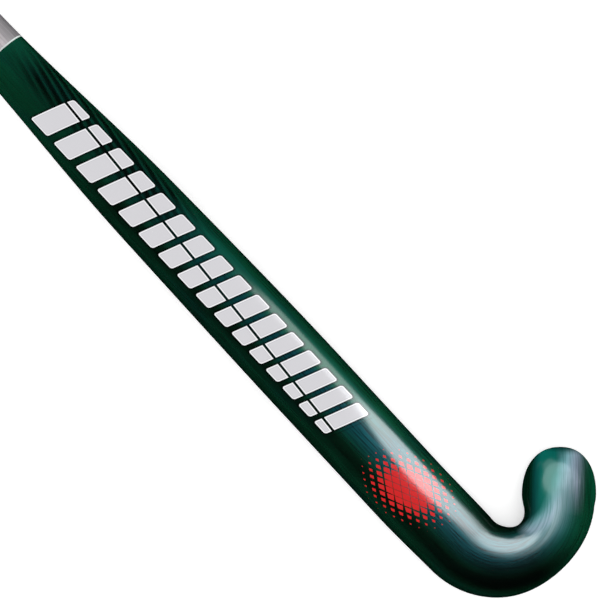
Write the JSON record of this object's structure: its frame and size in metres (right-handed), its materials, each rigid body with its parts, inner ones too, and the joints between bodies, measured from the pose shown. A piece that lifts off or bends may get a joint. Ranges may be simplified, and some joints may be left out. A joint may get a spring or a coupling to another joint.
{
  "type": "indoor hockey stick",
  "caption": "Indoor hockey stick with a tight hooked head, a flat playing face, a rounded back, a tapering shaft and a wound grip.",
  "frame": {"origin": "under the middle of the stick's bounding box, on the surface that the stick lies on face down", "axes": "+Y up the shaft to the butt, +X to the toe side, +Z out of the rounded back; the flat playing face looks down"},
  "size_m": [0.1114, 0.9268, 0.0444],
  "materials": {
    "mulberry_wood": "sanded, steam bent",
    "manau_cane": "planed",
    "black_rubber": "matt",
    "carbon_fibre": "resin",
    "lacquered_fibreglass": "glossy lacquer",
    "waxed_twine": "wound and waxed",
    "foam": "matt foam",
    "polyurethane_tape": "soft matt",
    "vinyl_tape": "satin",
    "moulded_rubber": "satin"
  },
  "bodies": {
    "root": {"head_lamination_1": "mulberry_wood", "head_lamination_2": "mulberry_wood", "head_lamination_3": "mulberry_wood", "head_lamination_4": "mulberry_wood", "head_lamination_5": "mulberry_wood", "head_lamination_6": "mulberry_wood", "head_lamination_7": "mulberry_wood", "head_lamination_8": "mulberry_wood", "cane_slip_face": "manau_cane", "cane_slip_middle": "manau_cane", "cane_slip_back": "manau_cane", "handle_rubber_face": "black_rubber", "handle_rubber_back": "black_rubber", "carbon_strip": "carbon_fibre", "fibreglass_skin": "lacquered_fibreglass", "handle_binding": "waxed_twine", "grip_underlay": "foam", "grip_wrap": "polyurethane_tape", "grip_band": "vinyl_tape", "butt_cap": "moulded_rubber"}
  },
  "joints": []
}
